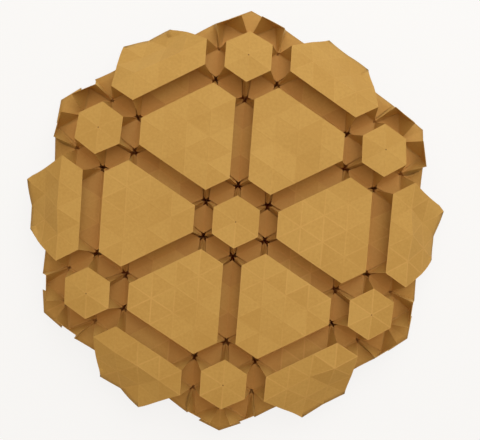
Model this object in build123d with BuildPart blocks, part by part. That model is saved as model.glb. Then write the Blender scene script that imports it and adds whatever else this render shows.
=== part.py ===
# Origami tessellation: one hexagon of kraft paper, creased on a triangle grid and folded without a cut into
# raised hexagons and truncated triangles, with sunken channels between them and a star where channels meet.
# Sizes are in millimetres and degrees. Inside the fold functions lengths are counted in grid steps.
from build123d import *
from itertools import product
from math import ceil, cos, radians, sin, sqrt
import os
import numpy as np
from scipy.optimize import nnls

# Paper and crease grid
grid_pitch = 12.5  # side of one grid triangle
sheet_steps = 16  # grid steps along each side of the flat hexagon
paper_thickness = 0.15
blunt_fold = 0.6  # length of the fold that stands in for a point at the foot of each short wall
longest_mitre = 0.5  # reach of the paper's corner past its middle surface at a sharp point

# Tiles, in grid steps, and the channel left between their edges
short_steps = 1  # side of a small hexagon, and short side of a truncated triangle
long_steps = 3  # long side of a truncated triangle
channel_gap = 8.9

# Two outer hexagons that turned a little on their stars: bearing from the middle, and turn
twists = ((150.0, -17.0), (30.0, 12.0))
twist_radius = 20.0  # the turn fades out at this distance from the hexagon's middle

# Droop of the rim, which starts as a bend and then runs on straight
firm_radius = 50.0  # inside this the sheet keeps its regular fold
bend_start = 71.6
bend_length = 24.8
bend_turn = 38.9  # mean turn towards the table
bend_turn_wave = 12.5  # more turn across the cut tiles, less at the sheet's corners
bend_turn_lean = 7.5  # more turn on one side, less on the other
lean_bearing = 66.0
edge_hang = 0.9  # how far the channels' ends at the sheet's edge stay upright instead of turning with the bend
edge_hang_rows = 4  # grid rows over which that fades out

# Settling of the drooped rim until the paper is unstretched
settle_rounds = 400
settle_rate = 3.3

# Triangle grid
hexagon_sides = 6
sixth_turn = 360 / hexagon_sides
row_height = sin(radians(sixth_turn))
channel_half_rows = 2  # one wall row and half of the floor

# Bounds inside which the star's free angle and pleat point are found
steepest_floor = 35.0
tuck_share_bounds = (0.3, 0.5)


def compass(degrees):
    """Unit vector in the plane, anticlockwise from +X."""
    return np.array([cos(radians(degrees)), sin(radians(degrees))])


step_up = compass(90)
step_right = compass(30)
side_normals = np.array([compass(sixth_turn * k) for k in range(hexagon_sides)])


def root(error, low, high, halvings=60):
    """Value between low and high where the error changes sign."""
    starts_above = error(low) > 0
    for _ in range(halvings):
        middle = (low + high) / 2
        if (error(middle) > 0) == starts_above:
            low = middle
        else:
            high = middle
    return (low + high) / 2


def meeting_point(centres, reaches):
    """Point at three given distances from three points, on the side that their turn faces."""
    first, second, third = centres
    along = second - first
    base = np.linalg.norm(along)
    along = along / base
    ahead = along @ (third - first)
    across = third - first - ahead * along
    offset = np.linalg.norm(across)
    across = across / offset
    x = (reaches[0] ** 2 - reaches[1] ** 2 + base**2) / (2 * base)
    y = (reaches[0] ** 2 - reaches[2] ** 2 + ahead**2 + offset**2 - 2 * ahead * x) / (2 * offset)
    z = sqrt(max(reaches[0] ** 2 - x**2 - y**2, 0))
    return first + x * along + y * across + z * np.cross(along, across)


class StarFold:
    """One star, where three tile corners meet over a spike. Its channel runs along +Y, a tile corner lies at 30
    degrees, and every facet keeps the lengths that it has on the flat grid."""

    def __init__(self, reach):
        self.reach = reach  # plan distance from the star's centre to a tile corner
        self.spike = np.array([0, 0, -sqrt(1 - reach**2 / 4)])
        self.floor_tip = np.array([0, reach / 2, 0])
        self.tilt = root(lambda tilt: self.place(tilt) - 1, 0, radians(steepest_floor))
        self.place(self.tilt)
        self.tuck_share = root(self.tuck_error, *tuck_share_bounds)
        self.tuck = self.tuck_at(self.tuck_share)

    def place(self, tilt):
        """Set the foot, the tile height and the crimp for a floor tilt, and return the crimp-to-foot length."""
        self.foot = np.array([row_height * cos(tilt), self.reach / 2 + 0.5, row_height * sin(tilt)])
        overhang = self.foot[0] - row_height * self.reach
        self.tile_height = self.foot[2] + sqrt(row_height**2 - overhang**2)
        half = np.array([self.reach, self.tile_height - self.spike[2]]) / 2
        length = np.linalg.norm(half)
        sideways = np.array([-half[1], half[0]]) / length * sqrt(max(1 - length**2, 0))
        self.crimp_reach, self.crimp_height = np.array([0, self.spike[2]]) + half + sideways
        self.crimp = np.append(self.crimp_reach * step_right, self.crimp_height)
        return np.linalg.norm(self.crimp - self.foot)

    def tuck_at(self, share):
        """Pleat point on the flat line from floor tip to crimp, a share of the way along it."""
        to_foot = sqrt(1 - share + share**2)
        return meeting_point((self.floor_tip, self.crimp, self.spike), (share, 1 - share, to_foot))

    def tuck_error(self, share):
        return np.linalg.norm(self.tuck_at(share) - self.foot) - sqrt(1 - share + share**2)


def folded_pitch(reach):
    """Distance between the middles of neighbouring small hexagons after folding."""
    return 2 * short_steps + long_steps + 3 * reach


def tile_lattice(reach):
    """Flat centre, slide when folded and rows to each side of every tile that the sheet's folds lean on."""
    flat_pitch = 2 * short_steps + long_steps + 3 * channel_half_rows
    to_long = (long_steps + 2 * short_steps) / 3
    to_short = 2 * to_long - short_steps
    cells = range(-ceil(sheet_steps / flat_pitch) - 1, ceil(sheet_steps / flat_pitch) + 2)
    centres, slides, rows = [], [], []
    for i, j in product(cells, repeat=2):
        corner = i * step_up + j * step_right
        kinds = (
            (corner, [short_steps] * hexagon_sides),
            (corner + compass(0) / sqrt(3), [to_long, to_short] * 3),
            (corner + compass(sixth_turn) / sqrt(3), [to_short, to_long] * 3),
        )
        for place, side_rows in kinds:
            centres.append(place * flat_pitch)
            slides.append(place * (folded_pitch(reach) - flat_pitch))
            rows.append(side_rows)
    return np.array(centres), np.array(slides), np.array(rows)


def fold_node(point, star, lattice):
    """Kind and folded place of a grid node, told by its rows from the three nearest tiles. A wall ends one row
    from its tile, and the middle line of a channel's floor is two rows from the tiles on both sides."""
    centres, slides, side_rows = lattice
    rows = ((point - centres) @ side_normals.T / row_height - side_rows).max(axis=1)
    near = np.argsort(rows)[:3]
    first, _, third = np.rint(rows[near])
    own = slides[near[0]]
    pair = slides[near[:2]].mean(axis=0)
    trio = slides[near].mean(axis=0)
    shut = channel_half_rows - star.reach  # how far a tile corner closes on its star
    if first <= 0:
        return "tile", np.append(point + own, star.tile_height)
    if first == 1 and third == 3:
        pull = (1 - star.crimp_reach) / shut
        return "crimp", np.append(point + trio + (own - trio) * pull, star.crimp_height)
    if first == 1:
        pull = (1 - cos(star.tilt)) / shut
        return "foot", np.append(point + pair + (own - pair) * pull, star.foot[2])
    if third == 2:
        return "spike", np.append(point + trio, star.spike[2])
    return "floor", np.append(point + pair, 0)


def fold_sheet(star):
    """Flat places, folded places and triangles of the whole sheet, each triangle anticlockwise from above, and
    the feet that serve two stars, each with the two floor tips beside it."""
    lattice = tile_lattice(star.reach)
    span = range(-sheet_steps, sheet_steps + 1)
    nodes = [(i, j) for i, j in product(span, repeat=2) if abs(i + j) <= sheet_steps]
    number = {node: k for k, node in enumerate(nodes)}
    flat = [i * step_up + j * step_right for i, j in nodes]
    kinds, folded = map(list, zip(*(fold_node(point, star, lattice) for point in flat)))
    tucks = {}

    def tuck_between(tip, crimp, spike):
        """Pleat point between a floor tip and a crimp of the star that stands over the spike."""
        if (tip, crimp) not in tucks:
            along = (folded[tip] - folded[spike])[:2]
            along = along / np.linalg.norm(along)
            across = (folded[crimp] - folded[spike])[:2]
            across = across - (across @ along) * along
            across = across / np.linalg.norm(across)
            plan = folded[spike][:2] + star.tuck[0] * across + star.tuck[1] * along
            tucks[tip, crimp] = len(folded)
            folded.append(np.append(plan, star.tuck[2]))
            flat.append(flat[tip] + (flat[crimp] - flat[tip]) * star.tuck_share)
        return tucks[tip, crimp]

    triangles = []
    for i, j in nodes:
        for corners in (((i, j), (i, j + 1), (i + 1, j)), ((i, j), (i + 1, j), (i + 1, j - 1))):
            if all(corner in number for corner in corners):
                triangles.append([number[corner] for corner in corners])
    spikes_near = {}
    for triangle in triangles:
        for spike in (k for k in triangle if kinds[k] == "spike"):
            spikes_near.update({k: spike for k in triangle})
    feet = {}
    facets = []
    for triangle in triangles:
        for turn in range(3):
            a, b, c = triangle[turn:] + triangle[:turn]
            if kinds[c] == "foot" and a in spikes_near and b in spikes_near and kinds[a] == kinds[b]:
                feet[c] = (a, b)
            if {kinds[a], kinds[b]} == {"floor", "crimp"}:
                tip, crimp = (a, b) if kinds[a] == "floor" else (b, a)
                tuck = tuck_between(tip, crimp, spikes_near[crimp])
                facets += [[a, tuck, c], [tuck, b, c]]
                break
        else:
            facets.append(triangle)
    return np.array(flat), np.array(folded), np.array(facets), feet


def twist(places, centre, turn):
    """Turn a hexagon about its middle, with the paper beside it following less and less."""
    spokes = places[:, :2] - centre
    distance = np.hypot(*spokes.T)
    reach = twist_radius / grid_pitch
    angle = radians(turn) * np.clip((reach - distance) / (reach - short_steps), 0, 1)
    x, y = spokes.T
    turned = np.column_stack((x * np.cos(angle) - y * np.sin(angle), x * np.sin(angle) + y * np.cos(angle)))
    return np.column_stack((centre + turned, places[:, 2]))


def droop(places, flat, tile_height):
    """Bend the rim down about the tile tops, then let it run on straight."""
    radius = np.hypot(places[:, 0], places[:, 1])
    bearing = np.arctan2(places[:, 1], places[:, 0])
    wave = bend_turn_wave * np.cos(hexagon_sides * bearing)
    lean = bend_turn_lean * np.cos(bearing - radians(lean_bearing))
    turn = np.radians(bend_turn + wave + lean)
    arc = bend_length / grid_pitch
    beyond = np.maximum(radius - bend_start / grid_pitch, 0)
    angle = turn * np.minimum(beyond / arc, 1)
    straight = np.maximum(beyond - arc, 0)
    depth = places[:, 2] - tile_height
    rows_in = sheet_steps - (flat @ side_normals.T).max(axis=1) / row_height
    tuck_in = depth * (1 - edge_hang * np.clip(1 - rows_in / edge_hang_rows, 0, 1))
    outward = arc / turn * np.sin(angle) + straight * np.cos(angle) + tuck_in * np.sin(angle)
    drop = arc / turn * (1 - np.cos(angle)) + straight * np.sin(angle) - depth * np.cos(angle)
    new_radius = radius - beyond + outward
    return np.column_stack((new_radius * np.cos(bearing), new_radius * np.sin(bearing), tile_height - drop))


def settle(places, flat, facets, freedom):
    """Move the free places until every crease has its flat length again."""
    edges = np.unique(np.sort(np.concatenate((facets[:, :2], facets[:, 1:], facets[:, ::2])), axis=1), axis=0)
    tail, head = edges.T
    length = np.linalg.norm(flat[head] - flat[tail], axis=1)
    share = freedom[tail] + freedom[head]
    held = share == 0
    share[held] = 1
    ends = np.bincount(edges.ravel(), minlength=len(places))
    for _ in range(settle_rounds):
        span = places[head] - places[tail]
        now = np.linalg.norm(span, axis=1)
        pull = span * ((now - length) / now / share)[:, None]
        move = np.zeros_like(places)
        np.add.at(move, tail, pull * freedom[tail][:, None])
        np.add.at(move, head, -pull * freedom[head][:, None])
        places = places + move * (settle_rate / ends)[:, None]
    return places


def blunt_feet(places, flat, facets, feet):
    """Draw each foot that serves two stars out into a short fold along its channel."""
    places = list(places)
    facets = facets.tolist()
    for foot, (tip, next_tip) in feet.items():
        twin = len(places)
        along = places[next_tip] - places[tip]
        shift = along / np.linalg.norm(along) * blunt_fold / grid_pitch / 2
        places.append(places[foot] + shift)
        places[foot] = places[foot] - shift
        for facet in [facet for facet in facets if foot in facet]:
            turn = facet.index(foot)
            _, left, right = facet[turn:] + facet[:turn]
            left_ahead, right_ahead = (flat[[left, right]] - flat[foot]) @ (flat[next_tip] - flat[tip]) > 0
            if left_ahead:
                facet[turn] = twin
            if left_ahead and not right_ahead:
                facets.append([twin, right, foot])
            if right_ahead and not left_ahead:
                facets.append([foot, right, twin])
    return np.array(places), np.array(facets)


def mitre(normals):
    """Direction that leans least from all the facets round a place, so long that on average they keep the
    paper's thickness, up to the longest mitre."""
    weights, _ = nnls(np.vstack((normals.T, np.ones(len(normals)))), [0, 0, 0, 1])
    lean = weights @ normals
    reach = paper_thickness / 2 / (normals @ lean).mean()
    return lean * min(reach, longest_mitre / np.linalg.norm(lean))


def mitres(places, facets):
    """The mitre at every place of the sheet."""
    corners = places[facets]
    normals = np.cross(corners[:, 1] - corners[:, 0], corners[:, 2] - corners[:, 0])
    normals /= np.linalg.norm(normals, axis=1)[:, None]
    around = [[] for _ in places]
    for facet, normal in zip(facets, normals):
        for k in facet:
            around[k].append(normal)
    return np.array([mitre(np.array(near)) for near in around])


def rim_edges(facets):
    """Edges of the sheet that only one facet has, in that facet's turn."""
    edges = [(facet[k], facet[(k + 1) % 3]) for facet in facets for k in range(3)]
    known = set(edges)
    return [(a, b) for a, b in edges if (b, a) not in known]


def triangle_face(a, b, c):
    return Face(Wire.make_polygon([Vector(*a), Vector(*b), Vector(*c)]))


# Fold, droop and settle the sheet's middle surface
star = StarFold(channel_gap / (2 * row_height) / grid_pitch)
flat, regular, facets, feet = fold_sheet(star)
radius = np.hypot(regular[:, 0], regular[:, 1]) * grid_pitch
freedom = np.clip((radius - firm_radius) / (bend_start - firm_radius), 0, 1)
twisted = regular
for bearing, turn in twists:
    twisted = twist(twisted, folded_pitch(star.reach) * compass(bearing), turn)
settled = settle(droop(twisted, flat, star.tile_height), flat, facets, freedom)
places, facets = blunt_feet(settled, flat, facets, feet)
sheet = places * grid_pitch

# Give it the paper's thickness and stand it on its lowest spikes, centred on its box
lift = mitres(sheet, facets)
front, back = sheet + lift, sheet - lift
low = np.minimum(front, back).min(axis=0)
high = np.maximum(front, back).max(axis=0)
rest = np.append((low + high)[:2] / 2, low[2])
front, back = front - rest, back - rest

faces = []
for a, b, c in facets:
    faces.append(triangle_face(front[a], front[b], front[c]))
    faces.append(triangle_face(back[c], back[b], back[a]))
for a, b in rim_edges(facets.tolist()):
    faces.append(triangle_face(front[b], front[a], back[a]))
    faces.append(triangle_face(front[b], back[a], back[b]))

with BuildPart() as folded_sheet:
    add(Solid(Shell(faces)))

folded_sheet.part.label = "folded_sheet"
os.makedirs("parts", exist_ok=True)
export_step(folded_sheet.part, "parts/folded_sheet.step")
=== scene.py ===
from itertools import product
from math import ceil, cos, pi, radians, sin, sqrt

import bmesh
import bpy
import numpy as np
from mathutils import Matrix, Vector, noise


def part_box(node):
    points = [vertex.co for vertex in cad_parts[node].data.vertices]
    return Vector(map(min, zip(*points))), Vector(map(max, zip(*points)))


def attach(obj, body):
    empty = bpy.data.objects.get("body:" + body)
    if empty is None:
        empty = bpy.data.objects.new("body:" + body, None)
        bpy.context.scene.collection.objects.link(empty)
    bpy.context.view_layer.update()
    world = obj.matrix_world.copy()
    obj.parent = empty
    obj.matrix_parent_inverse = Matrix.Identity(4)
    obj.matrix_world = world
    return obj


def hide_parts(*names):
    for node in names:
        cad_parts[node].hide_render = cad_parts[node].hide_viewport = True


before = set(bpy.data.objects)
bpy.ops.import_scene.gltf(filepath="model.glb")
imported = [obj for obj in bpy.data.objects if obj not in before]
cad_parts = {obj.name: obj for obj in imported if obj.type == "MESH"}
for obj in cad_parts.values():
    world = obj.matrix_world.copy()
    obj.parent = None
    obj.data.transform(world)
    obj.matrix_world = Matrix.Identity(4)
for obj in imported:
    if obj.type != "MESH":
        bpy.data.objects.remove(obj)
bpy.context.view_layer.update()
scene = bpy.context.scene
scene.view_settings.view_transform = "Standard"

# Flat sheet
# The paper starts as one plain hexagon of kraft paper. Every line of a triangle grid is creased into it
# by hand, so that the folds later follow grid lines and nothing has to be cut.
grid_pitch = 0.0125  # side of one grid triangle
sheet_steps = 16  # grid steps along each side of the hexagon
paper_thickness = 0.00015
hexagon_sides = 6
sixth_turn = 2 * pi / hexagon_sides
row_height = sin(sixth_turn)  # height of a grid triangle, in steps

paper = bmesh.new()
bmesh.ops.create_circle(paper, cap_ends=True, cap_tris=True, segments=hexagon_sides, radius=sheet_steps)
bmesh.ops.subdivide_edges(paper, edges=paper.edges[:], cuts=sheet_steps - 1, use_grid_fill=True)
kind = paper.verts.layers.int.new("kind")

# Folded star
# Three tile corners meet over each star. A spike points down behind it, the paper beside the spike is
# crimped under the tile corners, and small tucks take up the rest. Every facet keeps its size, as
# unstretched paper does.
channel_gap = 0.0089  # between facing tile edges
steepest_floor = radians(35)
tuck_share_bounds = (0.3, 0.5)


def compass(angle):
    """Unit vector in the plane, anticlockwise from +X."""
    return np.array([cos(angle), sin(angle)])


def root(error, low, high, halvings=60):
    """Value between low and high where the error changes sign."""
    starts_above = error(low) > 0
    for _ in range(halvings):
        middle = (low + high) / 2
        if (error(middle) > 0) == starts_above:
            low = middle
        else:
            high = middle
    return (low + high) / 2


def meeting_point(centres, reaches):
    """Point at three given distances from three points, on the side that their turn faces."""
    first, second, third = centres
    along = second - first
    base = np.linalg.norm(along)
    along = along / base
    ahead = along @ (third - first)
    across = third - first - ahead * along
    offset = np.linalg.norm(across)
    across = across / offset
    x = (reaches[0] ** 2 - reaches[1] ** 2 + base**2) / (2 * base)
    y = (reaches[0] ** 2 - reaches[2] ** 2 + ahead**2 + offset**2 - 2 * ahead * x) / (2 * offset)
    z = sqrt(max(reaches[0] ** 2 - x**2 - y**2, 0))
    return first + x * along + y * across + z * np.cross(along, across)


class StarFold:
    """One star in grid steps, with its channel along +Y and a tile corner a twelfth of a turn from +X."""

    def __init__(self, reach):
        self.reach = reach
        self.spike = np.array([0, 0, -sqrt(1 - reach**2 / 4)])
        self.floor_tip = np.array([0, reach / 2, 0])
        self.tilt = root(lambda tilt: self.place(tilt) - 1, 0, steepest_floor)
        self.place(self.tilt)
        self.tuck_share = root(self.tuck_error, *tuck_share_bounds)
        self.tuck = self.tuck_at(self.tuck_share)

    def place(self, tilt):
        """Set foot, tile height and crimp for a floor tilt, and return the length from crimp to foot."""
        self.foot = np.array([row_height * cos(tilt), self.reach / 2 + 0.5, row_height * sin(tilt)])
        overhang = self.foot[0] - row_height * self.reach
        self.tile_height = self.foot[2] + sqrt(row_height**2 - overhang**2)
        half = np.array([self.reach, self.tile_height - self.spike[2]]) / 2
        length = np.linalg.norm(half)
        sideways = np.array([-half[1], half[0]]) / length * sqrt(max(1 - length**2, 0))
        self.crimp_reach, self.crimp_height = np.array([0, self.spike[2]]) + half + sideways
        self.crimp = np.append(self.crimp_reach * compass(sixth_turn / 2), self.crimp_height)
        return np.linalg.norm(self.crimp - self.foot)

    def tuck_at(self, share):
        """Tuck on the flat line from floor tip to crimp, a share of the way along it."""
        to_foot = sqrt(1 - share + share**2)
        return meeting_point((self.floor_tip, self.crimp, self.spike), (share, 1 - share, to_foot))

    def tuck_error(self, share):
        return np.linalg.norm(self.tuck_at(share) - self.foot) - sqrt(1 - share + share**2)


star = StarFold(channel_gap / (2 * row_height) / grid_pitch)

# Tiles and channels
# Small hexagons and blunt triangles stay level at the top. The paper between them, two grid rows on each
# side of a channel's middle line, drops as a wall and comes back as half of a shallow V-shaped floor.
short_steps = 1  # side of a small hexagon, and short side of a blunt triangle
long_steps = 3  # long side of a blunt triangle
channel_half_rows = 2
step_up = compass(pi / 2)
step_right = compass(sixth_turn / 2)
side_normals = np.array([compass(sixth_turn * k) for k in range(hexagon_sides)])
FLOOR, CRIMP, FOOT, SPIKE, TILE, TUCK = range(6)
flat_pitch = 2 * short_steps + long_steps + 3 * channel_half_rows  # between small hexagons, in steps
folded_pitch = 2 * short_steps + long_steps + 3 * star.reach


def tile_lattice():
    """Flat centre, slide when folded and rows to each side of every tile that the sheet's folds lean on."""
    to_long = (long_steps + 2 * short_steps) / 3
    to_short = 2 * to_long - short_steps
    reach = ceil(sheet_steps / flat_pitch) + 1
    places, side_rows = [], []
    for i, j in product(range(-reach, reach + 1), repeat=2):
        corner = i * step_up + j * step_right
        places += [corner, corner + compass(0) / sqrt(3), corner + compass(sixth_turn) / sqrt(3)]
        side_rows += [[short_steps] * hexagon_sides, [to_long, to_short] * 3, [to_short, to_long] * 3]
    places = np.array(places)
    return places * flat_pitch, places * (folded_pitch - flat_pitch), np.array(side_rows)


def fold_grid(points):
    """Kind and folded place of each grid node, told by its rows from the three nearest tiles."""
    centres, slides, side_rows = tile_lattice()
    rows = ((points[:, None] - centres) @ side_normals.T / row_height - side_rows).max(axis=2)
    near = np.argsort(rows, axis=1)[:, :3]
    first, _, third = np.rint(np.take_along_axis(rows, near, axis=1)).T
    own = slides[near[:, 0]]
    pair = slides[near[:, :2]].mean(axis=1)
    trio = slides[near].mean(axis=1)
    shut = channel_half_rows - star.reach
    crimped = trio + (own - trio) * (1 - star.crimp_reach) / shut
    footed = pair + (own - pair) * (1 - cos(star.tilt)) / shut
    # On a tile, under a tile's corner beside a star, at the foot of a wall, in a star's middle
    cases = [first <= 0, (first == 1) & (third == 3), first == 1, third == 2]
    kinds = np.select(cases, [TILE, CRIMP, FOOT, SPIKE], FLOOR)
    columns = [case[:, None] for case in cases]
    slide = np.select(columns, [own, crimped, footed, trio], pair)
    heights = np.select(cases, [star.tile_height, star.crimp_height, star.foot[2], star.spike[2]], 0)
    return kinds, np.column_stack((points + slide, heights))


def add_tucks(folded):
    """Break each line from a floor tip to a crimp at its tuck, and add the tucks to the folded places."""
    split = [edge for edge in paper.edges if {vert[kind] for vert in edge.verts} == {FLOOR, CRIMP}]
    made = bmesh.ops.bisect_edges(paper, edges=split, cuts=1)
    tucks = [item for item in made["geom_split"] if isinstance(item, bmesh.types.BMVert)]
    pull_crimp = star.tuck[0] / star.crimp[0]
    pull_tip = (star.tuck[1] - pull_crimp * star.crimp[1]) / star.floor_tip[1]
    places = list(folded)
    for tuck in tucks:
        ends = [edge.other_vert(tuck) for edge in tuck.link_edges]
        tip, crimp = sorted(ends, key=lambda vert: vert[kind])
        spike = next(vert for face in crimp.link_faces for vert in face.verts if vert[kind] == SPIKE)
        centre = folded[spike.index]
        to_tip = folded[tip.index] - centre
        to_crimp = folded[crimp.index] - centre
        plan = centre + pull_tip * to_tip + pull_crimp * to_crimp
        tuck[kind] = TUCK
        tuck.co = tip.co.lerp(crimp.co, star.tuck_share)
        tuck.index = len(places)
        places.append(np.append(plan[:2], star.tuck[2]))
    bmesh.ops.triangulate(paper, faces=[face for face in paper.faces if len(face.verts) > 3])
    return np.array(places)


paper.verts.index_update()
flat = np.array([vert.co for vert in paper.verts])[:, :2]
kinds, folded = fold_grid(flat)
for vert, its_kind in zip(paper.verts, kinds):
    vert[kind] = int(its_kind)
folded = add_tucks(folded)
paper.verts.sort()
paper.verts.ensure_lookup_table()
flat = np.array([vert.co for vert in paper.verts])[:, :2]

# Drooping rim
# The outer tiles have no neighbours to hold them up, so the rim bends down, most across the tiles that the
# sheet's edge cuts off, and two outer hexagons have turned a little. The paper settles until its creases
# have their flat lengths again. Then the raw edges straighten, and the soft stars close to slits.
twists = ((radians(150), radians(-17)), (radians(30), radians(12)))  # bearing from the middle, and turn
twist_reach = 0.020
firm_radius = 0.050  # inside this the fold stays regular
bend_start = 0.0716
bend_length = 0.0248
bend_turn = radians(38.9)
bend_turn_wave = radians(12.5)  # more turn across the cut tiles, less at the sheet's corners
bend_turn_lean = radians(7.5)  # more turn on one side, less on the other
lean_bearing = radians(66)
edge_hang = 0.9  # how far the channels' ends at the sheet's edge hang upright, whatever the bend
edge_hang_rows = 4  # grid rows over which that fades out
settle_rounds = 400
settle_rate = 3.3
edge_steps = (0, 1, 4, 5)  # along a side, from a corner of the sheet to the channels' ends
straighten_rounds = 120
straighten_rate = 0.1
star_pinch = 0.3  # how far the soft paper closes over a star's spike, stretched a little for the look


def twist(places, centre, turn):
    """Turn a hexagon about its middle, with the paper beside it following less and less."""
    x, y = (places[:, :2] - centre).T
    reach = twist_reach / grid_pitch
    angle = turn * np.clip((reach - np.hypot(x, y)) / (reach - short_steps), 0, 1)
    turned = np.column_stack((x * np.cos(angle) - y * np.sin(angle), x * np.sin(angle) + y * np.cos(angle)))
    return np.column_stack((centre + turned, places[:, 2]))


def rows_from_edge(points):
    """Grid rows between places on the flat sheet and its nearest side."""
    return sheet_steps - (points @ side_normals.T).max(axis=1) / row_height


def droop(places):
    """Bend the rim down about the tile tops, then let it run on straight."""
    radius = np.hypot(places[:, 0], places[:, 1])
    bearing = np.arctan2(places[:, 1], places[:, 0])
    turn = bend_turn + bend_turn_wave * np.cos(hexagon_sides * bearing)
    turn = turn + bend_turn_lean * np.cos(bearing - lean_bearing)
    arc = bend_length / grid_pitch
    beyond = np.maximum(radius - bend_start / grid_pitch, 0)
    angle = turn * np.minimum(beyond / arc, 1)
    straight = np.maximum(beyond - arc, 0)
    depth = places[:, 2] - star.tile_height
    tuck_in = depth * (1 - edge_hang * np.clip(1 - rows_from_edge(flat) / edge_hang_rows, 0, 1))
    outward = arc / turn * np.sin(angle) + straight * np.cos(angle) + tuck_in * np.sin(angle)
    drop = arc / turn * (1 - np.cos(angle)) + straight * np.sin(angle) - depth * np.cos(angle)
    new_radius = radius - beyond + outward
    x = new_radius * np.cos(bearing)
    y = new_radius * np.sin(bearing)
    return np.column_stack((x, y, star.tile_height - drop))


def half_sides():
    """Outward direction of each half side of the sheet, and the channels' ends along it."""
    found = []
    for k, way in product(range(hexagon_sides), (-1, 1)):
        corner = sheet_steps * compass(sixth_turn * (k + way / 2))
        along = compass(sixth_turn * k - way * pi / 2)
        ends = [np.linalg.norm(flat - corner - step * along, axis=1).argmin() for step in edge_steps]
        found.append((side_normals[k], ends))
    return found


def settle(places, freedom, rounds, straight=()):
    """Move the free places until every crease has its flat length, and draw groups of them into line."""
    tail, head = np.array([[vert.index for vert in edge.verts] for edge in paper.edges]).T
    length = np.linalg.norm(flat[head] - flat[tail], axis=1)
    share = freedom[tail] + freedom[head]
    share[share == 0] = 1
    ends = np.bincount(np.concatenate((tail, head)), minlength=len(places))
    for _ in range(rounds):
        span = places[head] - places[tail]
        now = np.linalg.norm(span, axis=1)
        pull = span * ((now - length) / now / share)[:, None]
        move = np.zeros_like(places)
        np.add.at(move, tail, pull * freedom[tail][:, None])
        np.add.at(move, head, -pull * freedom[head][:, None])
        places = places + move * (settle_rate / ends)[:, None]
        for outward, group in straight:
            reach = places[group, :2] @ outward
            places[group, :2] += straighten_rate * np.outer(reach.mean() - reach, outward)
    return places


def pinch_stars(places):
    """Draw the floor tips and the crimps round each star towards its middle, so that slits stay open."""
    moved = places.copy()
    for spike in paper.verts:
        if spike[kind] == SPIKE and not spike.is_boundary:
            round_it = [edge.other_vert(spike) for edge in spike.link_edges]
            closing = [vert.index for vert in round_it if vert[kind] in (FLOOR, CRIMP)]
            middle = places[[vert.index for vert in round_it if vert[kind] == FLOOR], :2].mean(axis=0)
            moved[closing, :2] += star_pinch * (middle - places[closing, :2])
    return moved


radius = np.hypot(folded[:, 0], folded[:, 1]) * grid_pitch
freedom = np.clip((radius - firm_radius) / (bend_start - firm_radius), 0, 1)
for bearing, turn in twists:
    folded = twist(folded, folded_pitch * compass(bearing), turn)
places = settle(droop(folded), freedom, settle_rounds)
beside_tiles = np.array([vert[kind] != TILE for vert in paper.verts])
places = settle(places, freedom * beside_tiles, straighten_rounds, half_sides())
places = pinch_stars(places) * grid_pitch
low, high = places.min(axis=0), places.max(axis=0)
cad_low, cad_high = (np.array(corner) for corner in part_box("folded_sheet"))
top_shift = cad_high[2] - paper_thickness / 2 - high[2]
sheet_middle = np.append((cad_low + cad_high - low - high)[:2] / 2, top_shift)
places += sheet_middle

# Paper surface
# The creased paper is thin and never quite flat. Where grid lines cross, the tiles stand up to about a
# millimetre high or low, so that their facets catch the light differently. Each facet is a little cockled
# as well, and towards the middle of each cut side the paper curls.
facet_cuts = 3
tile_dimple = 0.0007  # and up to twice that at the loose rim
cockle_length = 0.028
cockle_depth = 0.0002
curl_length = 0.03
curl_depth = 0.004
curl_rows = 2
curl_edge_power = 2  # how late the curl sets in towards the edge
curl_corner_power = 3  # and away from the sheet's corners
map_middle = 0.5  # place of the sheet's middle on its map
sharp_fold = radians(2)
edge_light_rows = 1  # grid rows over which the painted shade of the channels fades out at the sheet's edge
grain = 7.3  # spreads neighbouring grid places over separate cells of the noise
paper_map = paper.loops.layers.uv.new("paper")
shade_and_glow_depth = paper.verts.layers.float.new("shade_and_glow_depth")  # nothing on a tile, one at the tip of a spike; the painted shade and glow follow it
tone = paper.faces.layers.float.new("tone")  # chance difference between facets
pleat_shade = paper.faces.layers.float.new("pleat_shade")  # one where a pleat lies behind the channel's floor, painted darker there as shade

tips = set()
inside = np.clip(rows_from_edge(flat) / edge_light_rows, 0, 1)
depths = (star.tile_height - folded[:, 2]) / (star.tile_height - star.spike[2]) * inside
for vert, place, depth in zip(paper.verts, places, depths):
    vert.co = place
    vert[shade_and_glow_depth] = depth
    if vert[kind] == TUCK:
        beside_tuck = [edge.other_vert(vert) for edge in vert.link_edges]
        tips.update(near for near in beside_tuck if near[kind] == FLOOR)
for face in paper.faces:
    face.smooth = True
    middle = flat[[vert.index for vert in face.verts]].mean(axis=0)
    face[tone] = noise.cell(Vector((*middle, 0)) * grain)
    face[pleat_shade] = any(vert in tips for vert in face.verts)
    for loop in face.loops:
        loop[paper_map].uv = flat[loop.vert.index] / (2 * sheet_steps) + map_middle
paper.normal_update()
for vert in paper.verts:
    if all(near[kind] == TILE for edge in vert.link_edges for near in edge.verts):
        dent = tile_dimple * (1 + freedom[vert.index])
        vert.co += vert.normal * dent * noise.cell(Vector((*flat[vert.index], 0)) * grain)
paper.normal_update()
for edge in paper.edges:
    edge.smooth = edge.calc_face_angle(0) < sharp_fold
bmesh.ops.subdivide_edges(paper, edges=paper.edges[:], cuts=facet_cuts, use_grid_fill=True)
paper.normal_update()
map_places = np.array([vert.link_loops[0][paper_map].uv for vert in paper.verts])
spots = (map_places - map_middle) * 2 * sheet_steps
from_corner = (sheet_steps - np.linalg.norm(spots, axis=1)) / (sheet_steps * (1 - row_height))
near_edge = np.clip(1 - rows_from_edge(spots) / curl_rows, 0, 1)
curls = curl_depth * near_edge**curl_edge_power * np.clip(from_corner, 0, 1) ** curl_corner_power
moves = []
for vert, spot, curl in zip(paper.verts, spots, curls):
    spot = Vector((*spot, 0)) * grid_pitch
    swell = cockle_depth * noise.noise(spot / cockle_length) + curl * noise.noise(spot / curl_length)
    moves.append(vert.normal * swell)
for vert, move in zip(paper.verts, moves):
    vert.co += move

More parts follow.
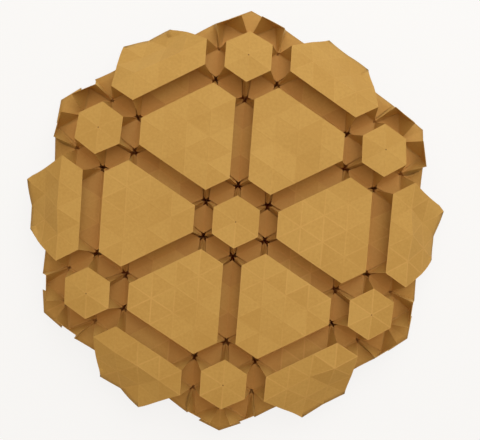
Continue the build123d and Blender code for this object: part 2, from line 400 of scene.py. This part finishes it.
sheet_mesh = bpy.data.meshes.new("folded_paper")
paper.to_mesh(sheet_mesh)
paper.free()
folded_paper = bpy.data.objects.new("folded_paper", sheet_mesh)
scene.collection.objects.link(folded_paper)
thickness = folded_paper.modifiers.new("thickness", "SOLIDIFY")
thickness.thickness = paper_thickness
thickness.offset = 0

# Kraft paper
# Unbleached brown paper, uncoated and matt, mottled by its fibres. The creases are partly rubbed lighter
# and partly carry a painted highlight that fades out towards the sheet's far edge. Deep in the folds the
# paper is painted redder as shade, over a pleat darker as shade, and the stars' bottoms get a painted
# orange glow.
# A compass point has pricked the middle of each small hexagon.
kraft = (0.60, 0.375, 0.106, 1)
kraft_dark = (0.53, 0.315, 0.08, 1)
kraft_rubbed_and_highlit = (0.70, 0.43, 0.14, 1)
kraft_recess_shade = (0.76, 0.31, 0.082, 1)
kraft_painted_glow = (0.95, 0.36, 0.12, 1)
kraft_pleat_shade = (0.42, 0.17, 0.048, 1)
prick_tint = (0.20, 0.10, 0.03, 1)
mottle_range = (0.28, 0.76)
cloud_share = 0.45
recess_shade_range = (0.3, 0.9)  # painted shade, from the foot of a wall down into a star
glow_range = (0.65, 1.0)  # painted glow, on to the tip of a spike
pleat_shade_share = 0.22
tone_share = 0.1
rub_and_highlight_range = (0.35, 0.65)
rub_and_highlight_share = 0.55
rub_and_highlight_bearing = radians(95)  # the creases' rubbing and painted highlight fade out this way
rub_and_highlight_reach = (-0.07, 0.08)
rub_and_highlight_least = 0.25
cloud_detail = 4
fibre_detail = 3
rub_and_highlight_detail = 2
relief_strength = 0.6
paper_ior = 1.4
crease_width = 0.0006
prick_radius = 0.0004
cloud_length = 0.02
fibre_length = 0.0013
rub_and_highlight_length = 0.045
fibre_relief = 0.00006
crease_relief = 0.00005
smoothest = 0.7
roughest = 0.85
sheet_width = 2 * sheet_steps * grid_pitch
row_pitch = row_height * grid_pitch
hexagon_pitch = flat_pitch * grid_pitch


class Shade:
    """A socket in a material's nodes. Sums of shades and numbers are written as Python expressions."""

    def __init__(self, tree, socket=None):
        self.tree = tree
        self.socket = socket

    def node(self, type_name, settings=None, inputs=None, output=0):
        """Any node: its settings, the values or shades of its inputs, and the output to go on from."""
        made = self.tree.nodes.new(type_name)
        for name, value in (settings or {}).items():
            setattr(made, name, value)
        for name, value in (inputs or {}).items():
            if isinstance(value, Shade):
                self.tree.links.new(value.socket, made.inputs[name])
            else:
                made.inputs[name].default_value = value
        return Shade(self.tree, made.outputs[output] if made.outputs else None)

    def math(self, operation, *values):
        return self.node("ShaderNodeMath", {"operation": operation}, dict(enumerate(values)))

    def __add__(self, other):
        return self.math("ADD", self, other)

    def __sub__(self, other):
        return self.math("SUBTRACT", self, other)

    def __mul__(self, other):
        return self.math("MULTIPLY", self, other)

    def __radd__(self, other):
        return self.math("ADD", other, self)

    def __rsub__(self, other):
        return self.math("SUBTRACT", other, self)

    def __rmul__(self, other):
        return self.math("MULTIPLY", other, self)


material = bpy.data.materials.new("kraft_paper")
material.use_nodes = True
material.node_tree.nodes.clear()
shade = Shade(material.node_tree)
spot = shade.node(
    "ShaderNodeVectorMath",
    {"operation": "MULTIPLY_ADD"},
    {
        0: shade.node("ShaderNodeUVMap", {"uv_map": "paper"}),
        1: (sheet_width, sheet_width, 0),
        2: (-sheet_width / 2, -sheet_width / 2, 0),
    },
)


def speckle(length, detail):
    """Noise with blotches of about this length on the flat paper."""
    return shade.node("ShaderNodeTexNoise", {}, {"Vector": spot, "Scale": 1 / length, "Detail": detail})


def fade(value, start, end):
    """One where the value is below start, falling smoothly to nothing at end."""
    return shade.node(
        "ShaderNodeMapRange",
        {"interpolation_type": "SMOOTHSTEP"},
        {"Value": value, "From Min": start, "From Max": end, "To Min": 1, "To Max": 0},
    )


def blend(share, first, second):
    """Colour that turns from the first to the second as the share goes from nothing to one."""
    return shade.node("ShaderNodeMix", {"data_type": "RGBA"}, {0: share, 6: first, 7: second}, output=2)


def along(direction):
    """How far a place lies from the middle of the flat sheet in this direction."""
    inputs = {0: spot, 1: (*direction, 0)}
    return shade.node("ShaderNodeVectorMath", {"operation": "DOT_PRODUCT"}, inputs, "Value")


def beside_line(direction):
    """Distance to the nearest of the grid lines that run across this direction."""
    return shade.math("ABSOLUTE", shade.math("WRAP", along(direction), row_pitch / 2, -row_pitch / 2))


def attribute(name):
    """A value that the mesh carries for each of its places or facets."""
    return shade.node("ShaderNodeAttribute", {"attribute_name": name}, {}, "Fac")


cloud = speckle(cloud_length, cloud_detail)
fibre = speckle(fibre_length, fibre_detail)
to_line = beside_line(compass(0))
for k in (1, 2):
    to_line = shade.math("MINIMUM", to_line, beside_line(compass(sixth_turn * k)))
crease = fade(to_line, 0, crease_width)
to_middle = shade.node("ShaderNodeVectorMath", {"operation": "LENGTH"}, {0: spot}, "Value")
for k in range(hexagon_sides):
    middle = hexagon_pitch * compass(pi / 2 + sixth_turn * k)
    inputs = {0: spot, 1: (*middle, 0)}
    away = shade.node("ShaderNodeVectorMath", {"operation": "DISTANCE"}, inputs, "Value")
    to_middle = shade.math("MINIMUM", to_middle, away)
prick = fade(to_middle, prick_radius / 2, prick_radius)

mottle = cloud * cloud_share + fibre * (1 - cloud_share) + attribute("tone") * tone_share
tint = blend(1 - fade(mottle, *mottle_range), kraft_dark, kraft)
# Lighter creases: partly rubbed wear, partly a painted highlight that is strongest towards the sheet's near
# edge
crease_rub_and_highlight_fade = rub_and_highlight_least + (1 - rub_and_highlight_least) * fade(along(compass(rub_and_highlight_bearing)), *rub_and_highlight_reach)
crease_rub_and_highlight = crease * crease_rub_and_highlight_fade * (1 - fade(speckle(rub_and_highlight_length, rub_and_highlight_detail), *rub_and_highlight_range))
tint = blend(crease_rub_and_highlight * rub_and_highlight_share, tint, kraft_rubbed_and_highlit)
# Painted shade: the paper turns redder the deeper it lies in the folds
tint = blend(1 - fade(attribute("shade_and_glow_depth"), *recess_shade_range), tint, kraft_recess_shade)
# Painted light: the spikes' tips glow orange, as if lit through the paper
tint = blend(1 - fade(attribute("shade_and_glow_depth"), *glow_range), tint, kraft_painted_glow)
# Painted shade: facets at a channel floor's tip beside a star turn darker
tint = blend(attribute("pleat_shade") * pleat_shade_share, tint, kraft_pleat_shade)
tint = blend(prick, tint, prick_tint)
relief = fibre * fibre_relief + crease * crease_relief - prick * prick_radius
bump = shade.node("ShaderNodeBump", {}, {"Strength": relief_strength, "Distance": 1, "Height": relief})
surface = shade.node(
    "ShaderNodeBsdfPrincipled",
    {},
    {
        "Base Color": tint,
        "Roughness": smoothest + (roughest - smoothest) * fibre,
        "IOR": paper_ior,
        "Normal": bump,
    },
)
shade.node("ShaderNodeOutputMaterial", {}, {"Surface": surface})
folded_paper.data.materials.append(material)
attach(folded_paper, "root")
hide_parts("folded_sheet")

# Floor
# The folded sheet lies loose on a plain, matt white table top, which runs on past the picture on all
# sides. The table is no part of the object, and it keeps the sheet's soft shadow.
floor_half = 12
floor_white = (0.86, 0.86, 0.86, 1)
floor_glow = 0.82  # share of plain white that the camera sees
plain_white = (1, 1, 1, 1)
seen_ways = ("Is Camera Ray", "Is Glossy Ray", "Is Transmission Ray")


def seen_rays():
    """One for what is seen, straight, in a gloss or through glass, and nothing for other light."""
    straight, gloss, glass = (shade.node("ShaderNodeLightPath", {}, {}, way) for way in seen_ways)
    return straight + gloss + glass


floor_bm = bmesh.new()
bmesh.ops.create_grid(floor_bm, x_segments=1, y_segments=1, size=floor_half)
floor_mesh = bpy.data.meshes.new("floor")
floor_bm.to_mesh(floor_mesh)
floor_bm.free()
floor = bpy.data.objects.new("floor", floor_mesh)
scene.collection.objects.link(floor)
table = bpy.data.materials.new("table_white")
table.use_nodes = True
table.node_tree.nodes.clear()
shade = Shade(table.node_tree)
rays = seen_rays()
matt = shade.node("ShaderNodeBsdfDiffuse", {}, {"Color": floor_white})
glow = shade.node("ShaderNodeEmission", {}, {"Color": plain_white, "Strength": 1})
surface = shade.node("ShaderNodeMixShader", {}, {0: rays * floor_glow, 1: matt, 2: glow})
shade.node("ShaderNodeOutputMaterial", {}, {"Surface": surface})
floor.data.materials.append(table)

# Light and camera
# A large soft window lamp stands beyond the sheet's far edge, a softbox hangs almost overhead, and weak
# warm light comes from all round. The camera looks almost straight down from about a quarter of a metre.
window_place = Vector((0.20, 0.52, 0.5))
window_size = 0.6
window_power = 1.44
softbox_place = Vector((0.03, 0.15, 0.45))
softbox_size = 0.5
softbox_power = 0.98
lamp_white = (1, 1, 1)
fill_tint = (1.0, 0.74, 0.42)
fill_strength = 0.42
sheet_centre = Vector(sheet_middle)
camera_height = 0.2612
camera_roll = radians(-4.41)
camera_tilt_x = radians(1.94)
camera_tilt_y = radians(0.47)
photo_width, photo_height = 480, 440
focal_px = 530
camera_clip = 0.01
middle_px = (235.4, 221.2)

lamps = (
    ("window", window_place, window_size, window_power),
    ("softbox", softbox_place, softbox_size, softbox_power),
)
for name, place, size, power in lamps:
    lamp_data = bpy.data.lights.new(name, "AREA")
    lamp_data.size = size
    lamp_data.energy = power
    lamp_data.color = lamp_white
    lamp = bpy.data.objects.new(name, lamp_data)
    lamp.location = place
    lamp.visible_camera = False
    lamp.rotation_euler = (sheet_centre - place).to_track_quat("-Z", "Y").to_euler()
    scene.collection.objects.link(lamp)

world = bpy.data.worlds.new("studio")
world.use_nodes = True
world.node_tree.nodes.clear()
shade = Shade(world.node_tree)
rays = seen_rays()
fill = shade.node("ShaderNodeBackground", {}, {"Color": (*fill_tint, 1), "Strength": fill_strength})
white = shade.node("ShaderNodeBackground", {}, {"Color": plain_white, "Strength": 1})
backdrop = shade.node("ShaderNodeMixShader", {}, {0: rays, 1: fill, 2: white})
shade.node("ShaderNodeOutputWorld", {}, {"Surface": backdrop})
scene.world = world

camera_data = bpy.data.cameras.new("camera")
camera_data.sensor_fit = "HORIZONTAL"
camera_data.lens = camera_data.sensor_width * focal_px / photo_width
camera_data.shift_x = (photo_width / 2 - middle_px[0]) / photo_width
camera_data.shift_y = (middle_px[1] - photo_height / 2) / photo_width
camera_data.clip_start = camera_clip
camera = bpy.data.objects.new("camera", camera_data)
camera_turn = (
    Matrix.Rotation(camera_tilt_y, 4, "Y")
    @ Matrix.Rotation(camera_tilt_x, 4, "X")
    @ Matrix.Rotation(camera_roll, 4, "Z")
)
camera_lift = Matrix.Translation((0, 0, camera_height))
camera.matrix_world = Matrix.Translation(sheet_centre) @ camera_turn.transposed() @ camera_lift
scene.collection.objects.link(camera)
scene.camera = camera

bpy.context.view_layer.update()
